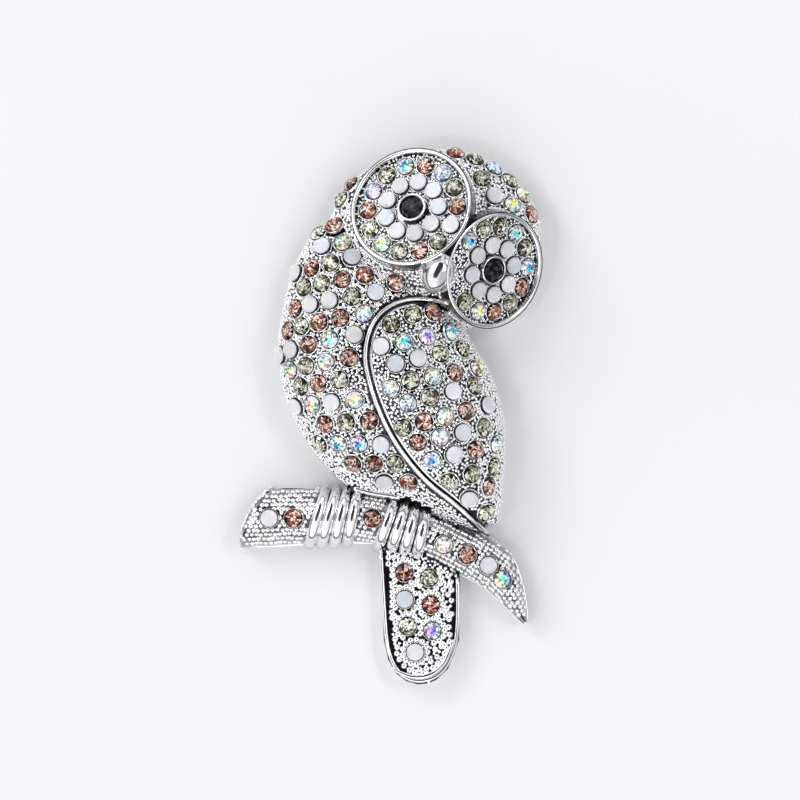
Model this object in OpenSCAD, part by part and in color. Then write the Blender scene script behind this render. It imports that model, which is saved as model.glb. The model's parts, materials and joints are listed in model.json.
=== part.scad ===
// A pave owl brooch on a branch, lying on its back with its face up.
// Tables hold whole per cent of the named size that they follow.

/* [Torso] */
// Radius of the torso on its left side
torso_r = 15.3; // [14:0.1:17]
// Height of the torso's dome above the back plane
torso_h = 9.2; // [8:0.1:10.5]
// Height of the casting's upright edge
skirt_h = 1.5; // [1.2:0.1:2]
// Thickness of the cast wall
wall = 1.5; // [1.2:0.1:2]
// Radius of the polished hem under the breast
hem_r = 0.4; // [0.3:0.05:0.5]

/* [Head] */
// Half width of the head
head_a = 14.9; // [13.8:0.1:16]
// Half height of the head
head_b = 12.8; // [12:0.1:14]
// Height of the head's dome above the back plane
head_h = 8.2; // [7.4:0.1:8.4]

/* [Eyes] */
// Radius of the left eye dish
left_eye_r = 8.8; // [8.6:0.1:9.4]
// Radius of the right eye dish
right_eye_r = 8.3; // [8.1:0.1:8.8]
// Lean of the left eye dish
left_eye_lean = 26; // [22:1:28]
// Lean of the right eye dish
right_eye_lean = 38; // [34:1:40]
// Depth of an eye dish from its rim to its floor
dish_d = 1.1; // [0.9:0.1:1.3]
// Thickness of a dish's rim
dish_rim = 0.5; // [0.4:0.05:0.6]
// Diameter of a pupil
pupil_d = 3.3; // [3:0.1:3.5]

/* [Beak] */
// Length of the beak
beak_l = 5; // [4.4:0.1:5.6]
// Width of the beak
beak_w = 3.8; // [3.2:0.1:4.4]

/* [Wing] */
// Length of the wing from shoulder to tip
wing_l = 34; // [31:0.5:36]
// Step of the wing's edge above the torso
wing_lift = 0.8; // [0.6:0.1:1.2]
// Extra height in the middle of the wing
wing_crown = 1.1; // [0.8:0.1:1.6]
// Radius of the polished rim along the wing's leading edge
wing_rim_r = 0.36; // [0.3:0.02:0.45]

/* [Branch] */
// Length of the branch in plan from end to end
branch_l = 40; // [37:0.5:43]
// Width of the branch at its left end
branch_w = 8.2; // [7.6:0.1:9]
// Height of the branch above the back plane
branch_h = 4.8; // [4.2:0.1:5.4]
// Radius of a toe
toe_r = 0.6; // [0.5:0.02:0.64]

/* [Tail] */
// Length of the tail from the middle of the branch to its end
tail_l = 21.4; // [20:0.1:24]
// Width of the tail at the branch
tail_w = 11.2; // [10.6:0.2:12]
// Height of the tail above the back plane
tail_h = 2.4; // [2.1:0.1:3]
// Width of the tail's polished rim, and of the groove inside it
tail_rim = 0.55; // [0.4:0.05:0.6]

/* [Stones] */
// Diameter of a stone at its girdle
stone_d = 2.36; // [2.2:0.02:2.38]
// Height of a stone
stone_h = 1.1; // [0.9:0.05:1.3]
// Height of a stone's girdle
girdle_h = 0.35; // [0.25:0.05:0.5]
// Clear space under a stone
seat_gap = 0.18; // [0.12:0.02:0.24]

/* [Pin] */
// Length of the bar on the back
pin_l = 18; // [15:0.5:19]
// Width of the bar
pin_bar_w = 3.6; // [3:0.1:4.5]
// Thickness of the bar
pin_bar_t = 0.8; // [0.6:0.05:0.9]
// Diameter of the stem
pin_stem_d = 0.9; // [0.7:0.05:1]
// Height of the bar's upper face above the back plane
pin_top = 4.2; // [4:0.1:4.4]

/* [Hidden] */

silver = [0.80, 0.80, 0.82];
steel = [0.62, 0.62, 0.65];
jet = [0.03, 0.03, 0.04];

// Kinds of stone: letter, table width in per cent of the girdle, colour
CUTS = [["O", 66, [0.86, 0.88, 0.93]], ["P", 48, [0.66, 0.40, 0.30]],
        ["K", 54, [0.80, 0.79, 0.60]], ["A", 60, [0.72, 0.86, 0.92]]];

// Middle of the brooch's outline in plan, which the origin is set under
plan_shift = [0.091, 0.089, 0];
torso_at = [0, 6.4];
head_at = torso_at + [0.41 * torso_r, 1.18 * torso_r];
left_eye_at = head_at + [-0.225 * head_a, 0.36 * head_b];
right_eye_at = head_at + [0.555 * head_a, -0.33 * head_b];
wing_at = torso_at + [0.431 * torso_r, -0.455 * torso_r];
branch_at = torso_at + [-1.22 * torso_r, -1.35 * torso_r];
tail_at = torso_at + [0.265 * torso_r, -1.47 * torso_r];
pin_at = torso_at + [-0.14 * torso_r, 0.23 * torso_r];

// Torso outline seen from above: angle, reach from the torso's middle in per cent of torso_r
TORSO_REACH = [[0, 89], [15, 78], [30, 73], [45, 82], [60, 95], [75, 109], [90, 120], [105, 136],
               [110, 148], [120, 142], [135, 125], [150, 112], [165, 105], [180, 100], [195, 99],
               [210, 98], [225, 101], [240, 107], [255, 115], [270, 117], [285, 130], [300, 172],
               [306, 169], [315, 144], [330, 120], [345, 103], [360, 89]];
// Wing outline: angle, reach from the wing's middle in per cent of wing_l
WING_REACH = [[0, 27], [15, 26], [30, 27], [45, 29], [60, 32], [75, 39], [83, 47], [90, 49],
              [98, 50.5], [105, 51], [112, 51], [119, 49], [127, 46], [138, 40], [146, 35],
              [158, 28], [181, 21.5], [204, 20], [229, 20], [246, 22], [264, 26.5], [276, 31.5],
              [285, 37.5], [290, 44.5], [294, 51.5], [301, 48.5], [307, 43.5], [317, 36.5],
              [329, 31.5], [343, 28.5], [360, 27]];
// Branch sections: place along in per cent of branch_l, drop and half width in per cent of
// branch_w, turn of the section's line from the +X axis
BRANCH = [[-2.57, -6.6, 14, 62], [-2.2, -5.7, 34, 62], [-1.4, -3.5, 49, 62],
          [0, 0, 58, 62], [13.5, -2, 50, 80], [29, -2, 45, 90], [44, 3, 40, 95],
          [58, 23, 41, 96], [69, 52, 39, 86], [80, 74, 40, 78], [86, 96, 41, 70],
          [90, 129, 30, 67], [94, 176, 6, 60]];
// Left side of the tail, then its right side: place down in per cent of tail_l,
// side in per cent of tail_w
TAIL_LEFT = [[-10, -50], [19, -49], [45, -46], [71, -44], [84, -38.5], [93, -28.5], [98, -16],
             [100, -2]];
TAIL_RIGHT = [[99.5, 12], [97, 22], [90, 36], [80.5, 44], [71, 50], [45, 51], [-10, 50]];

// Rows of stones on the torso: kinds, first stone, last stone, in per cent of torso_r
BODY_ROWS = [["PK", [-50, 131], [-65, 125]], ["AO", [-43, 116], [-61, 112]],
             ["OKPO", [-35, 102], [-85, 88]], ["PPKK", [-23, 86], [-78, 75]],
             ["P", [5.2, 79], [5.2, 79]], ["OKOOP", [-13, 70], [-86, 56]],
             ["APPKP", [-23, 51], [-93, 36]], ["OAPOO", [-32, 32], [-99, 14]],
             ["PAKA", [-37, 11], [-90, 0]], ["KPK", [-46, -9], [-81, -15]],
             ["AOAO", [-32, -27], [-85, -33]], ["PKP", [-19, -46], [-59, -49]],
             ["OAAK", [-8, -67], [-64, -67]], ["KPP", [5, -85], [-34, -85]],
             ["PO", [17, -102], [-5, -101]]];
// Rows of stones on the wing: kinds, first stone, last stone, in per cent of wing_l
WING_ROWS = [["KP", [-10, 43], [-2, 44]], ["K", [-19, 39], [-19, 39]],
             ["OAAA", [-23, 30], [5, 36]], ["OOKK", [-17, 23], [10, 29]],
             ["KAPA", [-11, 16], [16, 21]], ["A", [-19, 13], [-19, 13]],
             ["AKOK", [-12, 7], [15, 14]], ["KPAPO", [-14, -3], [20, 6]],
             ["PAOK", [-8, -9], [19, -3]], ["AOPA", [-2, -16], [24, -10]],
             ["KKK", [5, -25], [23, -19]], ["OP", [13, -32], [21, -27]], ["K", [20, -38], [20, -38]]];
// Stones on the head: kind, angle on the head's ellipse, share of the way out in per cent
HEAD_ROWS = [["P", 78.5, 97], ["K", 67, 96], ["A", 55, 96], ["K", 43, 96], ["A", 31, 96],
             ["P", 17.5, 95], ["K", 57, 80], ["A", 28.5, 82], ["O", 41, 73], ["K", 153, 98.5],
             ["P", 142, 99.8]];
// Stones on the branch: kind, place along and drop in per cent as in BRANCH
BRANCH_ROWS = [["O", 4.5, 0], ["P", 13, 0], ["P", 40.5, 0], ["A", 65.5, 45],
               ["P", 73.5, 62], ["O", 81, 80], ["A", 85.8, 104]];
// Stones on the tail: kind, place down in per cent of tail_l, side in per cent of tail_w
TAIL_ROWS = [["P", 27, -18.5], ["K", 30.5, 12.5], ["O", 44.5, -18], ["P", 48, 14.5], ["K", 62, -14.5],
             ["A", 65, 16.5], ["O", 79, -5]];
// Rings of stones in the eye dishes: kinds clockwise, first angle, step, reach from the middle
LEFT_INNER = ["OOOOOOOOO", 79, -40, 3.85];
LEFT_OUTER = ["PAKPOKPKAKPAKA", 76, -25.7, 6.5];
RIGHT_INNER = ["OOOOOOOO", 97, -45, 3.55];
RIGHT_OUTER = ["AKKAKAPKPAK", 135.5, -27.1, 6.1];
// Toes of a foot: upper end, lower end, place along in per cent of branch_l
LEFT_TOES = [[24, 18.5], [27.6, 22.8], [31.2, 27.1], [34.8, 31.4]];
RIGHT_TOES = [[48.4, 42.5], [51.8, 47], [55.2, 51.5], [58.6, 56]];

dome_shares = [1, 0.985, 0.94, 0.86, 0.74, 0.58, 0.4, 0.2, 0.05];
sides = 36;
dish_sides = 40;
bezel_t = 0.3;
bezel_gap = 0.1;
stone_sides = 8;
pupil_sides = 12;
// Points of a loft lie on a grid, so that no cut leaves a sliver thinner than its rounding
grid = 0.001;
dish_body = 1;
hinge_drop = 3.4;

// Cap heights of an elliptic dome at a share of the way out
function cap(low, high, share) = share >= 1 ? low : low + (high - low) * sqrt(1 - share * share);
function bearing(p) = (atan2(p.y, p.x) + 360) % 360;
function unit(v) = v / norm(v);
function between(a, b, t) = a + (b - a) * t;

function torso_reach(a) = torso_r * lookup(a % 360, TORSO_REACH) / 100;
function torso_z(p, inset = 0) =
    let (q = p - torso_at)
    cap(skirt_h, torso_h - inset, norm(q) / (torso_reach(bearing(q)) - inset));
function wing_reach(a) = wing_l * lookup(a % 360, WING_REACH) / 100;
function wing_z(p) =
    let (q = p - wing_at, s = norm(q) / wing_reach(bearing(q)))
    torso_z(p) + wing_lift + wing_crown * max(0, 1 - s * s);
function head_share(p) = norm([(p.x - head_at.x) / head_a, (p.y - head_at.y) / head_b]);
function head_z(p) = cap(skirt_h, head_h, head_share(p));

// Upright of a surface at a point, from its height at near points
function upright(height, p, d = 0.2) =
    unit([height(p - [d, 0]) - height(p + [d, 0]), height(p - [0, d]) - height(p + [0, d]), 2 * d]);
// Foot of a stone whose girdle is seen over p
function foot(height, p) = let (up = upright(height, p)) p - girdle_h * [up.x, up.y];

// A closed solid through a stack of loops with equal counts
module loft(loops) {
    n = len(loops[0]);
    last = len(loops) - 1;
    polyhedron(
        points = [for (loop = loops, p = loop) [for (v = p) round(v / grid) * grid]],
        faces = [[for (i = [0 : n - 1]) i],
                 for (k = [0 : last - 1], i = [0 : n - 1])
                     each [[k * n + i, (k + 1) * n + i, k * n + (i + 1) % n],
                           [k * n + (i + 1) % n, (k + 1) * n + i, (k + 1) * n + (i + 1) % n]],
                 [for (i = [n - 1 : -1 : 0]) last * n + i]]);
}

// A round bar swept along a path of points
module bar(path, radius, count = 6) {
    last = len(path) - 1;
    loft([for (k = [0 : last])
        let (t = unit(path[min(k + 1, last)] - path[max(k - 1, 0)]),
             side = unit(cross(t, [0, 0, 1])),
             up = cross(side, t))
        [for (i = [0 : count - 1])
            path[k] + radius * (cos(-i * 360 / count) * side + sin(-i * 360 / count) * up)]]);
}

// Turns its children so that +Z points along a direction
module stand(at, up) {
    translate(at)
        rotate([0, 0, atan2(up.y, up.x)])
            rotate([0, acos(up.z), 0])
                children();
}

// One cut stone: flat back, girdle, crown facets and table
module stone(d, h, girdle, table, count) {
    loft([for (ring = [[1, 0], [1, girdle], [table, h]])
        [for (i = [0 : count - 1])
            let (a = i * 360 / count)
            [ring[0] * d / 2 * cos(a), ring[0] * d / 2 * sin(a), ring[1]]]]);
}

function cut(kind) = CUTS[search(kind, CUTS)[0]];

module small_stone(kind) {
    color(cut(kind)[2])
        stone(stone_d, stone_h, girdle_h, cut(kind)[1] / 100, stone_sides);
}

// How far the metal stands through a stone's back at its rim, where a hollow crosses it
function lift(height, at, up) =
    let (side = unit(cross(up, [0, 1, 0.01])), across = cross(up, side))
    max([0, for (a = [0 : 45 : 315])
        let (q = at + stone_d / 2 * (cos(a) * side + sin(a) * across))
        (height([q.x, q.y]) - q.z) * up.z]);

// A stone on a height field, charted where its girdle is seen
module seated(kind, p, height) {
    q = foot(height, p);
    up = upright(height, q);
    at = concat(q, height(q));
    stand(at + (seat_gap + lift(height, at, up)) * up, up)
        small_stone(kind);
}

// A solid dome over a closed outline, from the back plane to its crown
module dome(at, reach, height, base = 0) {
    loft([
        [for (i = [0 : sides - 1]) let (a = i * 360 / sides) concat(at + reach(a) * [cos(a), sin(a)], base)],
        for (s = dome_shares)
            [for (i = [0 : sides - 1])
                let (a = i * 360 / sides, p = at + s * reach(a) * [cos(a), sin(a)])
                concat(p, height(p, s))]]);
}

module torso() {
    dome(torso_at, function (a) torso_reach(a), function (p, s) cap(skirt_h, torso_h, s));
}

function head_reach(a) = 1 / norm([cos(a) / head_a, sin(a) / head_b]);

module head() {
    dome(head_at, function (a) head_reach(a), function (p, s) cap(skirt_h, head_h, s));
}

module wing() {
    dome(wing_at, function (a) wing_reach(a), function (p, s) wing_z(p));
}

module hollow() {
    dome(torso_at, function (a) torso_reach(a) - wall,
         function (p, s) cap(skirt_h / 2, torso_h - wall, s), -1);
    dome(head_at, function (a) head_reach(a) - wall,
         function (p, s) cap(skirt_h / 2, head_h - wall - dish_d, s), -1);
}

// Frames of the two eye dishes: the rim's plane is at zero height in it
module left_eye_frame() {
    translate([left_eye_at.x, left_eye_at.y, 1.17 * head_h])
        rotate([0, 0, 130])
            rotate([0, left_eye_lean, 0])
                rotate([0, 0, -130])
                    children();
}

module right_eye_frame() {
    translate([right_eye_at.x, right_eye_at.y, 1.011 * head_h])
        rotate([0, 0, -20])
            rotate([0, right_eye_lean, 0])
                rotate([0, 0, 20])
                    children();
}

module dish(r) {
    translate([0, 0, -dish_d - dish_body])
        cylinder(r = r, h = dish_d + dish_body, $fn = dish_sides);
}

module dish_room(r) {
    translate([0, 0, -dish_d])
        cylinder(r = r - dish_rim, h = dish_d + 2, $fn = dish_sides);
}

// A short ring of metal round a pupil
module bezel() {
    translate([0, 0, -dish_d - dish_body / 2])
        difference() {
            cylinder(r = pupil_d / 2 + bezel_gap + bezel_t, h = dish_d + dish_body / 2 - 0.1, $fn = 24);
            translate([0, 0, dish_body / 2])
                cylinder(r = pupil_d / 2 + bezel_gap, h = dish_d + 1, $fn = 24);
        }
}

module eye_dishes() {
    hull() {
        left_eye_frame() dish(left_eye_r);
        translate([left_eye_at.x, left_eye_at.y, skirt_h])
            cylinder(r = 0.78 * left_eye_r, h = 1, $fn = dish_sides);
    }
    hull() {
        right_eye_frame() dish(right_eye_r);
        translate([right_eye_at.x - 0.072 * right_eye_r, right_eye_at.y + 0.024 * right_eye_r, skirt_h])
            cylinder(r = 0.72 * right_eye_r, h = 1, $fn = dish_sides);
    }
}

module beak() {
    translate([head_at.x + 0.027 * head_a, head_at.y - 0.36 * head_b, 1.317 * head_h])
        rotate([0, 0, 62])
            hull() {
                for (side = [-1, 1]) {
                    translate([side * 0.36 * beak_l, 0, 0])
                        sphere(r = 0.14 * beak_l, $fn = 16);
                    translate([0, side * 0.263 * beak_w, 0])
                        sphere(r = 0.237 * beak_w, $fn = 16);
                }
                translate([0, 0, 0.2 * beak_l])
                    sphere(r = 0.316 * beak_w, $fn = 16);
                translate([0, 0, -0.8 * beak_l])
                    sphere(r = 0.368 * beak_w, $fn = 16);
            }
}

function branch_x(along) = branch_at.x + branch_l * along / 100;

// A D-shaped section of the branch, flat side down
function branch_loop(k, inset) =
    let (row = BRANCH[k],
         half = branch_w * row[2] / 100 - inset,
         low = skirt_h / 2,
         rise = (branch_h - inset - low) * min(1, 0.35 + row[2] / 60),
         at = [branch_x(row[0]), branch_at.y - branch_w * row[1] / 100],
         line = [cos(row[3]), sin(row[3])],
         foot_z = inset > 0 ? -1 : 0)
    concat([for (a = [0 : 22.5 : 180]) concat(at + half * cos(a) * line, low + rise * sin(a))],
           [concat(at - half * line, foot_z), concat(at + half * line, foot_z)]);

module branch(inset = 0, first = 0, last = len(BRANCH) - 1) {
    loft([for (k = [first : last]) branch_loop(k, inset)]);
}

// Drop of the branch's middle line at a place along it
branch_line = [for (row = BRANCH) [row[0], row[1]]];
branch_half = [for (row = BRANCH) [row[0], row[2]]];

// A toe wraps over the branch from its upper edge to its lower edge
module toe(upper, lower) {
    hull()
        bar([for (t = [0 : 0.125 : 1])
            let (along = between(upper, lower, t),
                 half = branch_w * lookup(along, branch_half) / 100,
                 w = (1 - 2 * t) * 1.03)
            [branch_x(along),
             branch_at.y - branch_w * lookup(along, branch_line) / 100 + w * half,
             cap(skirt_h, branch_h + 0.23 * toe_r, abs(w))]], toe_r, 8);
}

module toes() {
    for (pair = LEFT_TOES)
        toe(pair[0], pair[1]);
    for (pair = RIGHT_TOES)
        toe(pair[0], pair[1]);
}

function tail_point(row) = tail_at + [tail_w * row[1] / 100, -tail_l * row[0] / 100];

module tail_outline() {
    polygon([for (row = concat(TAIL_LEFT, TAIL_RIGHT)) tail_point(row)]);
}

module tail() {
    difference() {
        linear_extrude(height = tail_h) tail_outline();
        translate([0, 0, skirt_h / 2])
            linear_extrude(height = tail_h)
                offset(delta = -tail_rim) tail_outline();
    }
    linear_extrude(height = tail_h)
        offset(delta = -2 * tail_rim) tail_outline();
}

module wing_rim() {
    bar([for (a = [84, 90, 98, 105, 112, 119, 127, 138, 146, 158, 170, 181, 192, 204, 216, 229,
                   238, 246, 255, 264, 276, 285, 290, 294])
        let (p = wing_at + wing_reach(a) * [cos(a), sin(a)])
        concat(p, wing_z(p) + 0.1)], wing_rim_r);
}

module hem() {
    bar([for (a = [250 : 5 : 275])
        let (p = torso_at + 0.97 * torso_reach(a) * [cos(a), sin(a)])
        concat(p, torso_z(p))], hem_r);
}

module pin_posts() {
    for (side = [-1, 1])
        translate([pin_at.x + side * pin_l / 3, pin_at.y, pin_top + seat_gap])
            cylinder(d = 0.64 * pin_bar_w, h = torso_h - wall - pin_top - hem_r, $fn = 10);
}

module owl_casting() {
    color(silver) {
        difference() {
            union() {
                torso();
                head();
                wing();
                eye_dishes();
                wing_rim();
                hem();
                beak();
            }
            left_eye_frame() dish_room(left_eye_r);
            right_eye_frame() dish_room(right_eye_r);
            hollow();
        }
        left_eye_frame() bezel();
        right_eye_frame() bezel();
        difference() {
            union() {
                branch();
                toes();
            }
            branch(wall, 4, 10);
        }
        tail();
        pin_posts();
    }
}

module pin_clasp() {
    color(steel)
        translate([pin_at.x, pin_at.y, 0]) {
            translate([-pin_l / 2, -pin_bar_w / 2, pin_top - pin_bar_t])
                cube([pin_l, pin_bar_w, pin_bar_t]);
            // Hinge block and catch hang from the bar
            translate([-pin_l / 2, -pin_bar_w / 4, pin_top - hinge_drop])
                cube([1.6, pin_bar_w / 2, hinge_drop - pin_bar_t / 2]);
            translate([pin_l / 2 - 1.6, -pin_bar_w / 4, pin_top - hinge_drop])
                cube([1.6, pin_bar_w / 2, hinge_drop - pin_bar_t / 2]);
            translate([-pin_l / 2 + 0.5, 0, pin_top - hinge_drop + pin_stem_d])
                rotate([0, 90, 0])
                    cylinder(d = pin_stem_d, h = pin_l - 1, $fn = 24);
        }
}

module pupil() {
    color(jet)
        translate([0, 0, -dish_d + seat_gap])
            stone(pupil_d, dish_d + 0.5, dish_d - 0.1, 0.52, pupil_sides);
}

module left_pupil() { left_eye_frame() pupil(); }

module right_pupil() { right_eye_frame() pupil(); }

// Place of one stone in a row that runs from first to last
function along_row(row, i) = len(row[0]) == 1 ? 0 : i / (len(row[0]) - 1);

// Rows on the torso close up towards its side, as steps of equal angle on a round flank do
function flank(first, last, t) = 103 * sin(between(asin(first / 103), asin(last / 103), t));

module body_stones() {
    for (row = BODY_ROWS, i = [0 : len(row[0]) - 1]) {
        t = along_row(row, i);
        u = flank(row[1].x, row[2].x, t);
        p = torso_at + torso_r / 100 * [u, between(row[1].y, row[2].y, t)];
        seated(row[0][i], p, function (q) max(torso_z(q), head_z(q)));
    }
}

module wing_stones() {
    for (row = WING_ROWS, i = [0 : len(row[0]) - 1]) {
        t = along_row(row, i);
        p = wing_at + wing_l / 100 * between(row[1], row[2], t);
        seated(row[0][i], p, function (q) wing_z(q));
    }
}

module head_stones() {
    for (row = HEAD_ROWS) {
        p = head_at + row[2] / 100 * [head_a * cos(row[1]), head_b * sin(row[1])];
        seated(row[0], p, function (q) max(torso_z(q), head_z(q)));
    }
}

module ring_of_stones(ring) {
    for (i = [0 : len(ring[0]) - 1])
        rotate([0, 0, ring[1] + i * ring[2]])
            translate([ring[3], 0, -dish_d + seat_gap])
                small_stone(ring[0][i]);
}

module left_eye_inner_stones() { left_eye_frame() ring_of_stones(LEFT_INNER); }

module left_eye_outer_stones() { left_eye_frame() ring_of_stones(LEFT_OUTER); }

module right_eye_inner_stones() { right_eye_frame() ring_of_stones(RIGHT_INNER); }

module right_eye_outer_stones() { right_eye_frame() ring_of_stones(RIGHT_OUTER); }

module branch_stones() {
    for (row = BRANCH_ROWS)
        translate([branch_x(row[1]), branch_at.y - branch_w * row[2] / 100, branch_h + seat_gap])
            small_stone(row[0]);
}

module tail_stones() {
    for (row = TAIL_ROWS)
        translate(concat(tail_point([row[1], row[2]]), tail_h + seat_gap))
            small_stone(row[0]);
}

translate(-plan_shift) {
    owl_casting();
    pin_clasp();
    left_pupil();
    right_pupil();
    body_stones();
    wing_stones();
    head_stones();
    left_eye_inner_stones();
    left_eye_outer_stones();
    right_eye_inner_stones();
    right_eye_outer_stones();
    branch_stones();
    tail_stones();
}
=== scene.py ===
# %% [markdown]
# # A paved owl brooch
# Here the brooch is one casting of silver plated metal that carries 159 cut glass stones.
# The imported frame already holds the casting, the pin and a plain solid for every stone, all at
# real size. This lesson dresses them: it grinds facets on the stones, raises the fine grain of
# metal beads between them, and polishes the rims, beak, toes and hem. We start by loading the
# frame and noting its box, because nothing we add may make the brooch bigger.

# %% Load the frame
import json
import math
import random

import bmesh
import bpy
import numpy as np
from mathutils import Matrix, Vector
from mathutils.bvhtree import BVHTree
from mathutils.kdtree import KDTree

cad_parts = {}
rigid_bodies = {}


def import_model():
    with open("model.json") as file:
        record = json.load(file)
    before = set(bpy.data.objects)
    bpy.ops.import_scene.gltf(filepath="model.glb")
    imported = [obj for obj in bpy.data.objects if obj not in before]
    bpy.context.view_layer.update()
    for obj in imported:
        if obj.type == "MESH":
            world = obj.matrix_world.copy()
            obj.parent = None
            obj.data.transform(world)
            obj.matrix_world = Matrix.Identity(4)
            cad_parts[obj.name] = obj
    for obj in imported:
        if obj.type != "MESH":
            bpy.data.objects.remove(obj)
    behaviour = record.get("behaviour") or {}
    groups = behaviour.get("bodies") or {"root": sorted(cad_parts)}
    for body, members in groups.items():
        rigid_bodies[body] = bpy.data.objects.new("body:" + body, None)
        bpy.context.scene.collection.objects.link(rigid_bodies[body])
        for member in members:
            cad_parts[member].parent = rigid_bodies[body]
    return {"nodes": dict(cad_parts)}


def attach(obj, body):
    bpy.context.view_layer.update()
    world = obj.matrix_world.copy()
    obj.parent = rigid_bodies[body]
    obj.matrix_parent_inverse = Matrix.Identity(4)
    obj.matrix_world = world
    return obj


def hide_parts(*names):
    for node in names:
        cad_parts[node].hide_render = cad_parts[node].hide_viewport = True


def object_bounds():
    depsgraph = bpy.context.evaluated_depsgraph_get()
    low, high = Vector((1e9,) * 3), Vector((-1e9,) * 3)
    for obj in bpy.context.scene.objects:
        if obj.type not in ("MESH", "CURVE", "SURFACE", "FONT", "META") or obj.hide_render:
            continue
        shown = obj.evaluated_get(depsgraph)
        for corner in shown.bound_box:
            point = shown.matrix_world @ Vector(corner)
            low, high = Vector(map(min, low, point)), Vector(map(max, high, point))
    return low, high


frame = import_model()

MM = 0.001
cad_low, cad_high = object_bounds()
nodes = frame["nodes"]
print("frame holds", len(nodes), "nodes; box in mm:",
      [round((h - l) / MM, 1) for l, h in zip(cad_low, cad_high)])

# %% [markdown]
# The chart of the owl was read off its picture, which is 800 pixels wide. Two named values turn
# a pixel into a place on the brooch: the size of a pixel, and the pixel that lies over the origin.
# Heights never come from the picture. Nearly all come from a ray dropped onto the casting, so that
# what we place by a pixel still sits on the metal. The others are named where they are used.

# %% Turn pixels into places
PIXEL = 0.1394 * MM
ORIGIN_PIXEL = (390.65, 415.36)
ABOVE_ALL = 30 * MM
SAME_POINT = 1e-7
WELD = 0.001 * MM


def plan(px, py):
    """The place on the brooch under a pixel, at height 0."""
    return Vector(((px - ORIGIN_PIXEL[0]) * PIXEL, (ORIGIN_PIXEL[1] - py) * PIXEL, 0.0))


def welded(node):
    """A bmesh copy of a CAD node, with its loose triangles joined."""
    bm = bmesh.new()
    bm.from_mesh(nodes[node].data)
    bmesh.ops.remove_doubles(bm, verts=bm.verts, dist=SAME_POINT)
    bm.faces.ensure_lookup_table()
    return bm


casting = welded("owl_casting")
casting_tree = BVHTree.FromBMesh(casting)


def drop(x, y):
    """The place on the casting straight under (x, y), and the metal's normal there."""
    hit, normal, _, _ = casting_tree.ray_cast(Vector((x, y, ABOVE_ALL)), Vector((0, 0, -1)))
    return hit, normal


print("casting has", len(casting.faces), "faces")

# %% [markdown]
# Every stone solid in the frame has a flat back and a table on top. The back is its largest
# flat, so the back's centre gives the stone's seat and the back's normal its direction. The
# stones come in four kinds of glass, and each kind has its own width of table. Measuring the table
# against the back therefore tells which glass belongs there, and no list of stones is needed.

# %% Read the stones from the frame
TABLES = {"opal": 0.66, "aurora": 0.60, "jonquil": 0.54, "champagne": 0.48}
STONE_FIELDS = ["body_stones", "wing_stones", "head_stones", "left_eye_inner_stones",
                "left_eye_outer_stones", "right_eye_inner_stones", "right_eye_outer_stones",
                "branch_stones", "tail_stones"]
SAME_WAY = 0.999


def islands(bm):
    """Groups of faces that hang together."""
    seen = set()
    for start in bm.faces:
        if start.index in seen:
            continue
        seen.add(start.index)
        group, queue = [], [start]
        while queue:
            face = queue.pop()
            group.append(face)
            for edge in face.edges:
                for other in edge.link_faces:
                    if other.index not in seen:
                        seen.add(other.index)
                        queue.append(other)
        yield group


def flat_area(group, direction):
    return sum(f.calc_area() for f in group if f.normal.dot(direction) > SAME_WAY)


def read_stones(node):
    """Seat, direction, radius and kind of each stone in a node."""
    bm = welded(node)
    stones = []
    for group in islands(bm):
        down = max((f.normal.copy() for f in group), key=lambda n: flat_area(group, n))
        back = [f for f in group if f.normal.dot(down) > SAME_WAY]
        area = sum(f.calc_area() for f in back)
        seat = sum((f.calc_center_median() * f.calc_area() for f in back), Vector()) / area
        up = -down.normalized()
        radius = max((v.co - seat).cross(up).length for f in group for v in f.verts)
        table = math.sqrt(flat_area(group, up) / area)
        kind = min(TABLES, key=lambda k: abs(TABLES[k] - table))
        stones.append({"seat": seat, "up": up, "radius": radius, "kind": kind})
    bm.free()
    return sorted(stones, key=lambda s: (round(s["seat"].y, 5), round(s["seat"].x, 5)))


fields = {node: read_stones(node) for node in STONE_FIELDS}
pupils = {node: read_stones(node)[0] for node in ("left_pupil", "right_pupil")}
every_stone = [s for stones in fields.values() for s in stones]
print("stones:", {k: sum(s["kind"] == k for s in every_stone) for k in TABLES})

# %% [markdown]
# ## Finishes
# Plated metal is a mirror with a faint haze, so its look comes from what it reflects. The helper
# below makes one plated finish: metallic, with a roughness that wanders a little over the
# surface where fingers have been. A value that is the same all over is set on the shader itself.

# %% Helpers for materials
SKIN_SCALE = 1500.0
SKIN_DEPTH = 0.05 * MM
PATCH_SCALE = 260.0


def new_material(name):
    mat = bpy.data.materials.new(name)
    mat.use_nodes = True
    tree = mat.node_tree
    return mat, tree, tree.nodes["Principled BSDF"]


def link(tree, a, b):
    tree.links.new(a, b)


def object_noise(tree, scale, detail=3.0):
    coords = tree.nodes.new("ShaderNodeTexCoord")
    noise = tree.nodes.new("ShaderNodeTexNoise")
    noise.inputs["Scale"].default_value = scale
    noise.inputs["Detail"].default_value = detail
    link(tree, coords.outputs["Object"], noise.inputs["Vector"])
    return noise


def ramp(tree, source, stops):
    node = tree.nodes.new("ShaderNodeValToRGB")
    elements = node.color_ramp.elements
    while len(elements) < len(stops):
        elements.new(0.5)
    for element, (place, colour) in zip(elements, stops):
        element.position = place
        element.color = (*colour, 1.0)
    link(tree, source, node.inputs["Fac"])
    return node


def multiplied(tree, a, b):
    """A node that multiplies two colours; its first input is the share that it takes part."""
    mix = tree.nodes.new("ShaderNodeMix")
    mix.data_type = "RGBA"
    mix.blend_type = "MULTIPLY"
    mix.inputs[0].default_value = 1.0
    link(tree, a, mix.inputs[6])
    link(tree, b, mix.inputs[7])
    return mix


def grey(tone, blue=0.0):
    """A grey, with a little more blue where plating looks cold."""
    return (tone, tone, tone + blue)


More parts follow.
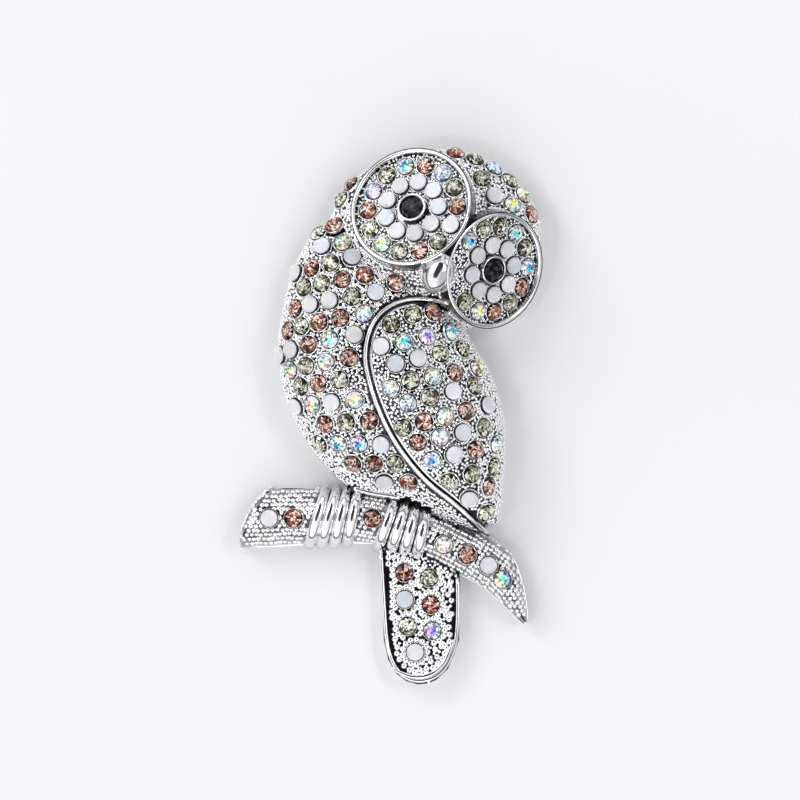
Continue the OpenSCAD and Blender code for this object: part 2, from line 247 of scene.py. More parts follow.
def plated(name, dark, light, rough, haze, bump):
    """A plated metal: its tone and haze wander between two values, with a fine skin."""
    mat, tree, shader = new_material(name)
    shader.inputs["Metallic"].default_value = 1.0
    patches = object_noise(tree, PATCH_SCALE)
    tone = ramp(tree, patches.outputs["Fac"], [(0.3, dark), (0.7, light)])
    link(tree, tone.outputs["Color"], shader.inputs["Base Color"])
    spread = tree.nodes.new("ShaderNodeMapRange")
    spread.inputs["To Min"].default_value = rough
    spread.inputs["To Max"].default_value = rough + haze
    link(tree, patches.outputs["Fac"], spread.inputs["Value"])
    link(tree, spread.outputs["Result"], shader.inputs["Roughness"])
    skin = object_noise(tree, SKIN_SCALE)
    height = tree.nodes.new("ShaderNodeBump")
    height.inputs["Strength"].default_value = bump
    height.inputs["Distance"].default_value = SKIN_DEPTH
    link(tree, skin.outputs["Fac"], height.inputs["Height"])
    link(tree, height.outputs["Normal"], shader.inputs["Normal"])
    return mat


silver_polish = plated("silver_polish", grey(0.78, 0.01), grey(0.90, 0.01), 0.04, 0.05, 0.02)
silver_beak = plated("silver_beak", (0.54, 0.53, 0.54), (0.74, 0.73, 0.74), 0.05, 0.05, 0.02)
silver_bead = plated("silver_bead", grey(0.90, 0.01), grey(0.98), 0.05, 0.08, 0.03)
# A near-black finish that paints the shadow in the gap round each stone.
silver_seat = plated("silver_seat", grey(0.012, 0.002), grey(0.04, 0.005), 0.35, 0.2, 0.2)
pin_steel = plated("pin_steel", grey(0.55, 0.02), grey(0.66, 0.02), 0.18, 0.15, 0.1)
print("plated finishes:", [mat.name for mat in bpy.data.materials if mat.name.startswith("silver")])

# %% [markdown]
# The deep places between the beads lie in shade, and that shade is painted into the casting's own
# finish: it turns from bright silver on its walls and back to nearly black where a face looks up
# between the beads. The direction of the face in the object's own frame decides, so the painted
# shade stays with the metal. Round the foot of the beak, where the picture shows light to mid grey
# metal, it is switched off. The branch shows less dark between its larger beads, so it gets two
# paler finishes.

# %% Paint shade into the pits of the casting
silver_ground = plated("silver_ground", grey(0.62, 0.01), grey(0.80, 0.01), 0.16, 0.16, 0.15)
tree = silver_ground.node_tree
shader = tree.nodes["Principled BSDF"]
coords = tree.nodes.new("ShaderNodeTexCoord")
facing = tree.nodes.new("ShaderNodeSeparateXYZ")
link(tree, coords.outputs["Normal"], facing.inputs[0])
# Painted shade: faces that look up between the beads turn nearly black.
depth = ramp(tree, facing.outputs["Z"], [(0.10, grey(1.0)), (0.45, grey(0.07, 0.005))])
silver_tone = shader.inputs["Base Color"].links[0].from_socket
pit_shade = multiplied(tree, silver_tone, depth.outputs["Color"])
link(tree, pit_shade.outputs[2], shader.inputs["Base Color"])
print("ground finish has", len(tree.nodes), "nodes")

# %% Keep the painted pit shade off the metal under the beak
BEAK_PIXEL = (438, 274)
BEAK_REACH = 2.7 * MM
flat = tree.nodes.new("ShaderNodeVectorMath")
flat.operation = "MULTIPLY"
flat.inputs[1].default_value = (1.0, 1.0, 0.0)
link(tree, coords.outputs["Object"], flat.inputs[0])
away = tree.nodes.new("ShaderNodeVectorMath")
away.operation = "DISTANCE"
away.inputs[1].default_value = plan(*BEAK_PIXEL)
link(tree, flat.outputs[0], away.inputs[0])
near = tree.nodes.new("ShaderNodeMath")
near.operation = "GREATER_THAN"
near.inputs[1].default_value = BEAK_REACH
link(tree, away.outputs["Value"], near.inputs[0])
link(tree, near.outputs[0], pit_shade.inputs[0])
print("beak over", [round(v / MM, 1) for v in plan(*BEAK_PIXEL).xy], "mm")

# %% Beds for the branch, painted shade between its beads: grey on its top, paler on its slopes
silver_bed = plated("silver_bed", grey(0.06, 0.005), grey(0.14, 0.005), 0.20, 0.16, 0.2)
silver_slope = plated("silver_slope", grey(0.30, 0.01), grey(0.46, 0.01), 0.12, 0.14, 0.2)
print("beds:", silver_bed.name, silver_slope.name)

# %% [markdown]
# A rhinestone is glass on a mirror. Looking in, you see the mirror's facets through the glass as
# a star of bright and dark wedges. Tracing that light truly needs a clear stone over a foil, which
# is slow and grainy at this size. Here each facet carries its own colour instead, stored on the
# mesh, under a glossy clear coat. The light still glides over the real facets, and the star stays
# put when the brooch is turned.

# %% Glass finishes
SMEAR_SCALE = 900.0
SMEARED = 1.8


def foiled_glass(name, metallic, rough, coat, shine):
    mat, tree, shader = new_material(name)
    facet = tree.nodes.new("ShaderNodeAttribute")
    facet.attribute_name = "facet"
    link(tree, facet.outputs["Color"], shader.inputs["Base Color"])
    shader.inputs["Metallic"].default_value = metallic
    smear = object_noise(tree, SMEAR_SCALE)
    spread = tree.nodes.new("ShaderNodeMapRange")
    spread.inputs["To Min"].default_value = rough
    spread.inputs["To Max"].default_value = rough * SMEARED
    link(tree, smear.outputs["Fac"], spread.inputs["Value"])
    link(tree, spread.outputs["Result"], shader.inputs["Roughness"])
    shader.inputs["Coat Weight"].default_value = coat
    shader.inputs["Coat Roughness"].default_value = 0.03
    shader.inputs["IOR"].default_value = 1.55
    shader.inputs["Specular IOR Level"].default_value = shine
    return mat


cut_glass = foiled_glass("cut_glass", 0.06, 0.10, 0.2, 0.25)
opal_glass = foiled_glass("opal_glass", 0.0, 0.28, 0.35, 0.5)
jet_glass = foiled_glass("jet_glass", 0.0, 0.08, 0.06, 0.16)
print("glass:", cut_glass.name, opal_glass.name, jet_glass.name)

# %% Cloud the opal glass
tree = opal_glass.node_tree
shader = tree.nodes["Principled BSDF"]
cloud = ramp(tree, object_noise(tree, 420.0, 2.0).outputs["Fac"],
             [(0.35, (0.90, 0.90, 0.92)), (0.65, (1.06, 1.05, 1.04))])
milk = multiplied(tree, shader.inputs["Base Color"].links[0].from_socket, cloud.outputs["Color"])
link(tree, milk.outputs[2], shader.inputs["Base Color"])
print("opal glass has", len(tree.nodes), "nodes")

# %% [markdown]
# A facet takes one of five tones: its glass's colour with a painted reflection of the foil behind
# it, from the darkest wedge to the brightest flash. The weights say how often each tone is drawn.
# An aurora stone has a rainbow coat over colourless glass, so its tones aren't listed: its hues run
# across the stone instead, from dark to bright with the same painted reflection.

# %% Tones of the glass, with painted reflections of the foil
GLASS_AND_REFLECTION_TONES = {
    "champagne": [(0.022, 0.005, 0.003), (0.11, 0.025, 0.013), (0.32, 0.090, 0.052),
                  (0.76, 0.36, 0.25), (1.0, 0.84, 0.77)],
    "jonquil": [(0.016, 0.016, 0.007), (0.085, 0.082, 0.040), (0.31, 0.30, 0.19),
                (0.68, 0.67, 0.48), (1.0, 1.0, 0.90)],
    "opal": [(0.46, 0.48, 0.515), (0.72, 0.70, 0.735), (0.57, 0.60, 0.64),
             (0.64, 0.66, 0.69), (0.74, 0.75, 0.775)],
    "jet": [(0.001, 0.001, 0.002), (0.002, 0.002, 0.003), (0.004, 0.004, 0.005),
            (0.010, 0.010, 0.013), (0.05, 0.05, 0.06)]}
GIRDLE_TONE = (0.012, 0.012, 0.013)
WEIGHTS = {"champagne": (4.4, 3.0, 2.2, 2.2, 3.0), "jonquil": (4.8, 2.4, 1.8, 2.4, 3.6),
           "aurora": (2.0, 2.0, 2.4, 3.0, 3.6), "opal": (0.3, 1.5, 2, 3, 1),
           "jet": (8, 3, 1, 1, 0.4)}

AURORA_HUES = [(1.0, 0.72, 0.42), (0.88, 0.93, 0.46), (0.42, 0.92, 0.74), (0.24, 0.74, 0.90),
               (0.26, 0.40, 0.92), (0.62, 0.42, 0.92), (0.94, 0.52, 0.84)]
# For each tone: how bright a deep heart is, how pale any other facet is, and how strong
HEART_SHARES = (0.06, 0.25, 0.6, 1.1, 2.2)
PALENESS = (0.0, 0.10, 0.30, 0.56, 0.95)
STRENGTHS = (0.16, 0.46, 0.80, 1.0, 1.0)
print("tones:", {kind: len(tones) for kind, tones in GLASS_AND_REFLECTION_TONES.items()}, "hues:", len(AURORA_HUES))

# %% [markdown]
# ## Cutting the stones
# A rhinestone's crown is a ring of sloping facets round a flat table. The cutter below starts
# from a round disc, extrudes it upwards for the girdle and then inwards for the crown, and insets
# and pokes the table to get the wedges of the star. Every facet then gets a colour. In a turned
# stone the light runs out from the middle in long rays, so each ray of facets draws one tone and
# only now and then a facet steps out of line.

# %% Helpers for cutting
# An operator may list new faces in any order, so in_order() puts them in one before colours are
# drawn. The nudge keeps a value that lies between two rounded ones from falling either way, and
# the start turn, in degrees, does that for an angle.
NUDGE = 0.00013
START_TURN = 1.013


def raise_ring(bm, face, up, shrink):
    """Extrudes a face upwards and scales it about its middle; returns the new cap."""
    out = bmesh.ops.extrude_face_region(bm, geom=[face])
    verts = [g for g in out["geom"] if isinstance(g, bmesh.types.BMVert)]
    cap = next(g for g in out["geom"] if isinstance(g, bmesh.types.BMFace))
    if face.is_valid:
        bmesh.ops.delete(bm, geom=[face], context="FACES_ONLY")
    bmesh.ops.translate(bm, verts=verts, vec=(0, 0, up))
    bmesh.ops.scale(bm, verts=verts, vec=(shrink, shrink, 1))
    return cap


def in_order(faces, radius):
    """The faces from the girdle up, from the middle out, and round."""
    def place(face):
        x, y, z = face.calc_center_median() / radius
        turn = (math.degrees(math.atan2(y, x)) + START_TURN) % 360.0
        return round(z + NUDGE, 3), round(math.hypot(x, y) + NUDGE, 3), round(turn, 1)
    return sorted(faces, key=place)


# %% Draw the tones of a stone
FREE_RAY = 0.3
STRAY_FACET = 0.55
DEEP_HEART = 0.62


def ray_tones(kind, rays, luck):
    """One tone for each ray of facets; dark and bright rays take turns."""
    tones = []
    for ray in range(rays):
        choices = (0, 1, 2) if ray % 2 == 0 else (2, 3, 4)
        if luck.random() < FREE_RAY:
            choices = range(5)
        tones.append(luck.choices(choices, [WEIGHTS[kind][tone] for tone in choices])[0])
    return tones


def dim(colour, share):
    return tuple(min(1.0, max(0.0, c * s)) for c, s in zip(colour, share))


print("tones round a trial stone:", ray_tones("jonquil", 8, random.Random(1)))

# %% Colour a facet


def stone_mood(kind, rays, luck):
    """What one stone draws for itself: its rays, its own tint and, for aurora, its run of hues."""
    bright = luck.uniform(0.92, 1.10) if kind == "opal" else luck.uniform(0.70, 1.06)
    warm = luck.uniform(-0.04, 0.04) if kind == "opal" else 0.0
    return {"tones": ray_tones(kind, rays, luck), "tint": (bright + warm, bright, bright - warm),
            "phase": luck.uniform(0.3, 4.7), "run": luck.uniform(1.3, 2.8),
            "lean": luck.random() * math.tau, "deep": luck.random() < DEEP_HEART,
            "ease": luck.choice((0.0, 0.0, 0.25))}


def aurora_hue(phase):
    """The coat's hue at a phase, blended from the list as if it were a ring."""
    step = int(phase // 1)
    near, far = (Vector(AURORA_HUES[(step + i) % len(AURORA_HUES)]) for i in (0, 1))
    return near.lerp(far, phase - step)


def facet_colour(kind, ring, ray, place, mood, luck):
    """ring is heart, table, crown or girdle; ray counts round; place is (x, y) in radii."""
    if ring == "girdle":
        return GIRDLE_TONE
    if kind == "opal":
        step = {"crown": 1, "table": mood["tones"][ray]}.get(ring, 3)
        return dim(GLASS_AND_REFLECTION_TONES[kind][step], mood["tint"])
    tone = mood["tones"][ray]
    if luck.random() < STRAY_FACET:
        tone = max(0, min(4, tone + luck.choice((-3, -2, -1, 1, 2, 3))))
    if kind != "aurora":
        return dim(GLASS_AND_REFLECTION_TONES[kind][tone], mood["tint"])
    across = place[0] * math.cos(mood["lean"]) + place[1] * math.sin(mood["lean"])
    hue = aurora_hue(mood["phase"] + mood["run"] * across + luck.uniform(-0.5, 0.5))
    if ring == "heart" and mood["deep"]:
        return tuple(min(1.0, HEART_SHARES[tone] * c ** 2.2) for c in hue)
    pale = min(1.0, PALENESS[tone] + mood["ease"])
    return tuple((c + (1 - c) * pale) * STRENGTHS[tone] for c in hue)


# %% Measures of a cut stone
# Girdle and crown step are shares of the stone's height, tables and insets shares of its radius
STONE_HEIGHT = 0.86 * MM
PUPIL_HEIGHT = 1.55 * MM
PUPIL_TABLE = 0.52
GIRDLE = 0.42
CROWN_STEP = 0.34
CLOSE_FIT = 1.03
OPAL_TABLE = 0.92
OPAL_GIRDLE = 0.76
HEART = 0.72
SIDES = 12
INSET = 0.30
ON_TABLE = 0.99
OVER_GIRDLE = 0.02
STONE_SLOTS = {"champagne": 0, "jonquil": 0, "aurora": 0, "opal": 1, "jet": 2}


def new_stones():
    """An empty bmesh that can hold the facets' colours."""
    bm = bmesh.new()
    bm.loops.layers.float_color.new("facet")
    return bm


def stand_at(seat, up):
    """The matrix that stands a shape made about +Z on its seat."""
    return Matrix.Translation(seat) @ up.to_track_quat("Z", "Y").to_matrix().to_4x4()


def ring_name(middle, radius, height, girdle, table):
    """Which ring a facet belongs to, by where its middle lies."""
    if middle.z > height * ON_TABLE:
        return "heart" if math.hypot(middle.x, middle.y) / radius < table * HEART else "table"
    return "crown" if middle.z > height * (girdle + OVER_GIRDLE) else "girdle"


print("a stone stands", round(STONE_HEIGHT / MM, 2), "mm high, a pupil",
      round(PUPIL_HEIGHT / MM, 2), "mm")

# %% Cut a stone


def cut_stone(bm, stone, kind, height, table, luck, fit=CLOSE_FIT):
    """Grinds one stone, colours its facets and adds it to the bmesh."""
    radius = stone["radius"] * fit
    rings = [(GIRDLE, 1.0), (GIRDLE + CROWN_STEP, 0.5 + 0.5 * table), (1.0, table)]
    if kind == "opal":
        table = OPAL_TABLE
        rings = [(OPAL_GIRDLE, 1.0), (1.0, table)]
    girdle = rings[0][0]
    fresh = new_stones()
    layer = fresh.loops.layers.float_color["facet"]
    made = bmesh.ops.create_circle(fresh, cap_ends=True, segments=SIDES, radius=radius)
    cap = made["verts"][0].link_faces[0]
    low, wide = 0.0, 1.0
    for share, ring_radius in rings:
        cap = raise_ring(fresh, cap, height * (share - low), ring_radius / wide)
        low, wide = share, ring_radius
    bmesh.ops.inset_individual(fresh, faces=[cap], thickness=radius * table * INSET,
                               use_even_offset=True)
    rim = [f for f in fresh.faces
           if f is not cap and f.calc_center_median().z > height * ON_TABLE]
    bmesh.ops.poke(fresh, faces=[cap])
    if kind != "opal":
        foot, top = height * (girdle + OVER_GIRDLE), height * ON_TABLE
        slopes = [f for f in fresh.faces if foot < f.calc_center_median().z < top]
        bmesh.ops.triangulate(fresh, faces=slopes + rim, quad_method="ALTERNATE")
    rays = 2 * SIDES
    mood = stone_mood(kind, rays, luck)
    for face in in_order(fresh.faces, radius):
        middle = face.calc_center_median()
        ray = int((math.atan2(middle.y, middle.x) % math.tau) / math.tau * rays + 0.01) % rays
        ring = ring_name(middle, radius, height, girdle, table)
        spot = (middle.x / radius, middle.y / radius)
        colour = facet_colour(kind, ring, ray, spot, mood, luck)
        for loop in face.loops:
            loop[layer] = (*colour, 1.0)
        face.material_index = STONE_SLOTS[kind]
        face.smooth = False
    turn = Matrix.Rotation(luck.random() * math.tau, 4, "Z")
    place = stand_at(stone["seat"], stone["up"])
    bmesh.ops.transform(fresh, matrix=place @ turn, verts=fresh.verts)
    spare = bpy.data.meshes.new("spare")
    fresh.to_mesh(spare)
    fresh.free()
    bm.from_mesh(spare)
    bpy.data.meshes.remove(spare)


# %% Put a finished mesh in the scene


def finish_mesh(bm, name, materials):
    """Writes a bmesh to a new object that stands at the origin."""
    mesh = bpy.data.meshes.new(name)
    bm.normal_update()
    bm.to_mesh(mesh)
    bm.free()
    for mat in materials:
        mesh.materials.append(mat)
    obj = bpy.data.objects.new(name, mesh)
    bpy.context.scene.collection.objects.link(obj)
    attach(obj, "root")
    return obj


# %% Cut every field of stones
luck = random.Random(7)
for node, stones in fields.items():
    bm = new_stones()
    for stone in stones:
        kind = stone["kind"]
        cut_stone(bm, stone, kind, STONE_HEIGHT, TABLES[kind], luck)
    bmesh.ops.recalc_face_normals(bm, faces=bm.faces)
    piece = finish_mesh(bm, node + "_cut", [cut_glass, opal_glass, jet_glass])
    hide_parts(node)
    print(piece.name, len(piece.data.polygons), "facets")

# %% Cut the pupils
for node, stone in pupils.items():
    bm = new_stones()
    cut_stone(bm, stone, "jet", PUPIL_HEIGHT, PUPIL_TABLE, luck, fit=1.0)
    bmesh.ops.recalc_face_normals(bm, faces=bm.faces)
    piece = finish_mesh(bm, node + "_cut", [cut_glass, opal_glass, jet_glass])
    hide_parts(node)
    print(piece.name, len(piece.data.polygons), "facets")

# %% [markdown]
# ## Seats
# Each stone sits in a drilled cup. From above the cup shows twice: as a thin shadowed gap round
# the stone, and outside it as a thin bright ring, the cup's polished edge. A near-black cylinder
# under the stone paints the shadow in the gap, and a spun ring gives the edge. The edge stops below
# the girdle, so where two stones nearly touch it passes out of sight under the neighbour.

# %% Sink a near-black cylinder, a painted shadow, under each stone
SEAT_GAP = 0.13 * MM
SEAT_DEPTH = 0.3 * MM
SEAT_SIDES = 16

bm = bmesh.new()
sunk = Matrix.Translation((0, 0, -0.16 * MM))
for stone in every_stone:
    reach = stone["radius"] + SEAT_GAP
    place = stand_at(stone["seat"], stone["up"])
    bmesh.ops.create_cone(bm, cap_ends=True, segments=SEAT_SIDES, radius1=reach, radius2=reach,
                          depth=SEAT_DEPTH, matrix=place @ sunk)
for face in bm.faces:
    face.smooth = False
seats = finish_mesh(bm, "stone_seat_shadows", [silver_seat])
print("seats", len(seats.data.polygons), "faces")

# %% Spin the bright edge of each seat
EDGE_WIDTH = 0.11 * MM
EDGE_TOP = 0.27 * MM


def spin_profile(bm, profile, steps):
    """Spins a closed profile of (radius, height) points about +Z."""
    verts = [bm.verts.new((r, 0, z)) for r, z in profile]
    edges = [bm.edges.new((a, b)) for a, b in zip(verts, verts[1:] + verts[:1])]
    bmesh.ops.spin(bm, geom=verts + edges, cent=(0, 0, 0), axis=(0, 0, 1), angle=math.tau,
                   steps=steps, use_merge=True)
    bmesh.ops.remove_doubles(bm, verts=bm.verts, dist=SAME_POINT)
    bmesh.ops.recalc_face_normals(bm, faces=bm.faces)


inner = every_stone[0]["radius"] + SEAT_GAP
outer = inner + EDGE_WIDTH
edge_profile = [(inner, -SEAT_DEPTH), (inner, EDGE_TOP - 0.04 * MM),
                (inner + 0.4 * EDGE_WIDTH, EDGE_TOP), (outer, EDGE_TOP - 0.08 * MM),
                (outer, -SEAT_DEPTH)]
one_edge = bmesh.new()
spin_profile(one_edge, edge_profile, SEAT_SIDES)
for face in one_edge.faces:
    face.smooth = True
edge_mesh = bpy.data.meshes.new("seat_edge")
one_edge.to_mesh(edge_mesh)
one_edge.free()
bm = bmesh.new()
for stone in every_stone:
    start = len(bm.verts)
    bm.from_mesh(edge_mesh)
    bm.verts.ensure_lookup_table()
    place = stand_at(stone["seat"], stone["up"])
    bmesh.ops.transform(bm, matrix=place, verts=bm.verts[start:])
bpy.data.meshes.remove(edge_mesh)
edges = finish_mesh(bm, "seat_edges", [silver_polish])
print("seat edges", len(edges.data.polygons), "faces")

# %% [markdown]
# ## The grain
# Between the stones the metal is raised into thousands of tiny beads. They lie at random on the
# breast, wing and head. To scatter them evenly on a curved surface we throw points at the
# casting's triangles and keep a point only if no other lies too close. A grid of cells makes
# that test quick. Geometry Nodes then puts a small ball on each point and makes them real.

# %% Look for room between the stones


def plan_polygon(pixels):
    return [plan(*pixel).xy for pixel in pixels]


def inside(poly, x, y):
    """Whether (x, y) lies in a polygon: a line from it crosses the edge an odd number of times."""
    hit = False
    for (x1, y1), (x2, y2) in zip(poly, poly[1:] + poly[:1]):
        if (y1 > y) != (y2 > y) and x < (x2 - x1) * (y - y1) / (y2 - y1) + x1:
            hit = not hit
    return hit


NEIGHBOUR_REACH = 3.2 * MM
STONE_LEVEL = 1.2 * MM
blockers = every_stone + list(pupils.values())
stone_tree = KDTree(len(blockers))
for i, stone in enumerate(blockers):
    stone_tree.insert(stone["seat"], i)
stone_tree.balance()
print("kept clear of", len(blockers), "stones")


def clear_of_stones(point, margin):
    """Whether a point on the metal is at least a margin away from every stone's edge."""
    for place, i, _ in stone_tree.find_range(point, NEIGHBOUR_REACH):
        stone = blockers[i]
        offset = point - place
        level = abs(offset.dot(stone["up"])) < STONE_LEVEL
        if level and offset.cross(stone["up"]).length < stone["radius"] + margin:
            return False
    return True


# %% Scatter points on the casting
WALL_FOOT = 0.6 * MM
LOOKS_UP = 0.02


def scatter(keep, pitch, seed, tries):
    """Points on the casting's upper faces that keep() allows, no two closer than pitch."""
    rng = np.random.default_rng(seed)
    faces = [f for f in casting.faces
             if f.normal.z > LOOKS_UP and f.calc_center_median().z > WALL_FOOT]
    areas = np.array([f.calc_area() for f in faces])
    picks = rng.choice(len(faces), size=tries, p=areas / areas.sum())
    mix = rng.random((tries, 2))
    cells, kept = {}, []
    for i, (a, b) in zip(picks, mix):
        face = faces[i]
        if a + b > 1:
            a, b = 1 - a, 1 - b
        p0, p1, p2 = (v.co for v in face.verts)
        point = p0 + (p1 - p0) * a + (p2 - p0) * b
        key = (int(point.x // pitch), int(point.y // pitch), int(point.z // pitch))
        near = (q for dx in (-1, 0, 1) for dy in (-1, 0, 1) for dz in (-1, 0, 1)
                for q in cells.get((key[0] + dx, key[1] + dy, key[2] + dz), ()))
        if any((q - point).length_squared < pitch * pitch for q in near):
            continue
        if not keep(point, face.normal):
            continue
        cells.setdefault(key, []).append(point)
        kept.append((point, face.normal.copy()))
    return kept


# %% [markdown]
# Each bead is a ball of a few dozen faces, because thousands of them stand on the brooch. Most
# are pressed flatter along the metal's normal, which keeps them low. Their sizes wander a little.
# On breast and wing they are smaller where the metal lies level, which lets more of the dark
# ground show there.

# %% Nodes that stand a ball on each point


def bead_group(name, segments, rings, flat):
    """A node group that stands a ball on each point, its pole along the metal's normal."""
    group = bpy.data.node_groups.new(name, "GeometryNodeTree")
    group.interface.new_socket("Geometry", in_out="INPUT", socket_type="NodeSocketGeometry")
    group.interface.new_socket("Geometry", in_out="OUTPUT", socket_type="NodeSocketGeometry")
    add = group.nodes.new
    given, out = add("NodeGroupInput"), add("NodeGroupOutput")
    ball = add("GeometryNodeMeshUVSphere")
    ball.inputs["Segments"].default_value = segments
    ball.inputs["Rings"].default_value = rings
    ball.inputs["Radius"].default_value = 1.0
    press = add("GeometryNodeTransform")
    press.inputs["Scale"].default_value = (1.0, 1.0, flat)
    place = add("GeometryNodeInstanceOnPoints")
    real = add("GeometryNodeRealizeInstances")
    smooth = add("GeometryNodeSetShadeSmooth")
    paint = add("GeometryNodeSetMaterial")
    paint.inputs["Material"].default_value = silver_bead
    size = add("GeometryNodeInputNamedAttribute")
    size.data_type = "FLOAT"
    size.inputs["Name"].default_value = "size"
    aim = add("GeometryNodeInputNamedAttribute")
    aim.data_type = "FLOAT_VECTOR"
    aim.inputs["Name"].default_value = "aim"
    turn = add("FunctionNodeAlignRotationToVector")
    turn.axis = "Z"
    for source, target in ((given.outputs[0], place.inputs["Points"]),
                           (ball.outputs["Mesh"], press.inputs["Geometry"]),
                           (press.outputs["Geometry"], place.inputs["Instance"]),
                           (size.outputs["Attribute"], place.inputs["Scale"]),
                           (aim.outputs["Attribute"], turn.inputs["Vector"]),
                           (turn.outputs["Rotation"], place.inputs["Rotation"]),
                           (place.outputs["Instances"], real.inputs["Geometry"]),
                           (real.outputs["Geometry"], smooth.inputs["Geometry"]),
                           (smooth.outputs["Geometry"], paint.inputs["Geometry"]),
                           (paint.outputs["Geometry"], out.inputs[0])):
        group.links.new(source, target)
    return group


# %% Turn points into beads


def inside_box(place, reach):
    """Whether a ball of that radius at the place stays inside the brooch's own box."""
    return all(low + reach < v < high - reach for v, low, high in zip(place, cad_low, cad_high))


LEVEL_FROM = 0.75


def bead_piece(name, points, radius, segments=8, rings=5, spread=0.15, lift=0.12 * MM, flat=1.0,
               thin=0.0):
    """Beads on the given points as one piece; thin is the share they lose on level metal."""
    rng = random.Random(1)
    bm = bmesh.new()
    size = bm.verts.layers.float.new("size")
    aim = bm.verts.layers.float_vector.new("aim")
    for point, normal in points:
        level = max(0.0, (normal.z - LEVEL_FROM) / (1 - LEVEL_FROM))
        r = radius * (1 + spread * (rng.random() * 2 - 1)) * (1 - thin * level)
        place = point + normal * lift
        if not inside_box(place, r * 1.02):
            continue
        vert = bm.verts.new(place)
        vert[size] = r
        vert[aim] = normal
    count = len(bm.verts)
    piece = finish_mesh(bm, name, [silver_bead])
    mod = piece.modifiers.new("beads", "NODES")
    mod.node_group = bead_group(name + "_nodes", segments, rings, flat)
    print(name, count, "beads")


# %% [markdown]
# The casting's parts are told apart in plan. The branch and the tail have their own, larger beads,
# so we first write down their outlines, in pixels, and leave them out of the fine grain.

# %% Outlines of wing, branch, tail and toes
BRANCH_TOP = [(258, 502), (272, 488), (300, 488), (340, 491), (380, 497), (420, 508), (455, 525),
              (490, 539), (512, 552), (522, 578), (527, 600), (528, 622)]
BRANCH_LOW = [(250, 512), (243, 528), (240, 549), (290, 546), (340, 543.5), (385, 544), (425, 556),
              (452, 572), (480, 585), (495, 598), (508, 611), (524, 624)]
BRANCH_LINE = [(232, 519), (285, 517), (320, 517), (360, 518), (400, 525), (438, 540),
               (470, 556), (495, 574), (510, 590), (520, 607), (530, 628)]
TAIL_EDGE = [(378, 548), (381, 600), (383.5, 640), (388, 660), (396, 674), (406, 682), (420, 685),
             (436, 681), (448, 670), (455, 655), (459.5, 640), (461, 600), (460, 578)]
WING_EDGE = [(448, 304), (432, 300), (415, 299), (398, 302), (384, 310), (375, 320), (369, 332),
             (366, 347), (365, 360), (368, 376), (373, 394), (378, 408), (385, 424), (393, 439),
             (403, 454), (414, 468), (426, 481), (440, 492.5), (455, 504), (470, 517.5),
             (480, 527), (488, 534)]
WING_BACK = [(499, 521), (502, 480), (504, 440), (500, 408), (490, 377), (470, 342)]
LEFT_TOES = [((326, 489), (309, 544)), ((337, 489), (321, 544)), ((347, 490), (334, 544)),
             ((358, 491), (347, 543))]
RIGHT_TOES = [((396, 499), (378, 547)), ((407, 502), (391, 550)), ((417, 506), (404, 553)),
              ((427, 511), (417, 556))]
branch_poly = plan_polygon(BRANCH_TOP + BRANCH_LOW[::-1])
tail_poly = plan_polygon(TAIL_EDGE)
wing_line = plan_polygon(WING_EDGE)
wing_poly = plan_polygon(WING_EDGE + WING_BACK)
toe_lines = [plan_polygon(toe) for toe in LEFT_TOES + RIGHT_TOES]
print("outlines: branch", len(branch_poly), "tail", len(tail_poly), "wing", len(wing_poly))

# %% Tell where a point lies
TOE_MARGIN = 0.86 * MM
DISH_SPARE = 0.05 * MM
DISH_DEPTH = 1.0 * MM
DISH_RADII = {"left": 8.8 * MM, "right": 8.3 * MM}
dishes = {side: {"middle": pupils[side + "_pupil"]["seat"], "up": pupils[side + "_pupil"]["up"],
                 "radius": radius} for side, radius in DISH_RADII.items()}
print("dishes look along:", {side: [round(v, 2) for v in dish["up"]]
                             for side, dish in dishes.items()})


def edge_distance(poly, x, y, closed=True):
    """How far (x, y) lies from the nearest edge of a polygon or, left open, of a line."""
    here = Vector((x, y))
    best = 1.0
    for a, b in zip(poly, poly[1:] + (poly[:1] if closed else [])):
        share = max(0.0, min(1.0, (here - a).dot(b - a) / (b - a).length_squared))
        best = min(best, (here - a.lerp(b, share)).length)
    return best


def on_toes(x, y):
    return any(edge_distance(line, x, y, closed=False) < TOE_MARGIN for line in toe_lines)


def in_dish_frame(point, dish):
    """How far a point lies from a dish's axis, and how high over its floor."""
    offset = point - dish["middle"]
    return offset.cross(dish["up"]).length, offset.dot(dish["up"])


def in_dish(point):
    for dish in dishes.values():
        side, height = in_dish_frame(point, dish)
        if side < dish["radius"] + DISH_SPARE and height > -DISH_DEPTH:
            return True
    return False


# %% [markdown]
# The coat keeps clear of the stones, of the dishes and of a groove along the wing's edge. That
# groove is wider on the wing's side, where the real one shows a dark line beside the rim.

# %% Grain of the coat
NECK_ROW = 292
COAT_PITCH = 0.375 * MM
WING_GROOVE = 1.10 * MM
BREAST_GROOVE = 0.58 * MM
COAT_MARGIN = 0.27 * MM
COAT_BEAD = 0.29 * MM
WING_BEAD = 0.268 * MM
LEVEL_LOSS = 0.13


def on_coat(point, normal):
    x, y = point.x, point.y
    if inside(branch_poly, x, y) or inside(tail_poly, x, y) or on_toes(x, y):
        return False
    groove = WING_GROOVE if inside(wing_poly, x, y) else BREAST_GROOVE
    if edge_distance(wing_line, x, y, closed=False) < groove:
        return False
    return not in_dish(point) and clear_of_stones(point, COAT_MARGIN)


coat_points = scatter(on_coat, COAT_PITCH, seed=11, tries=150000)
neck = plan(0, NECK_ROW).y
coats = {"head_grain": [], "breast_grain": [], "wing_grain": []}
for point, normal in coat_points:
    if point.y > neck:
        coats["head_grain"].append((point, normal))
    elif inside(wing_poly, point.x, point.y):
        coats["wing_grain"].append((point, normal))
    else:
        coats["breast_grain"].append((point, normal))
bead_piece("head_grain", coats["head_grain"], COAT_BEAD, flat=0.65)
bead_piece("breast_grain", coats["breast_grain"], COAT_BEAD, flat=0.65, thin=LEVEL_LOSS)
bead_piece("wing_grain", coats["wing_grain"], WING_BEAD, flat=0.65, thin=LEVEL_LOSS)

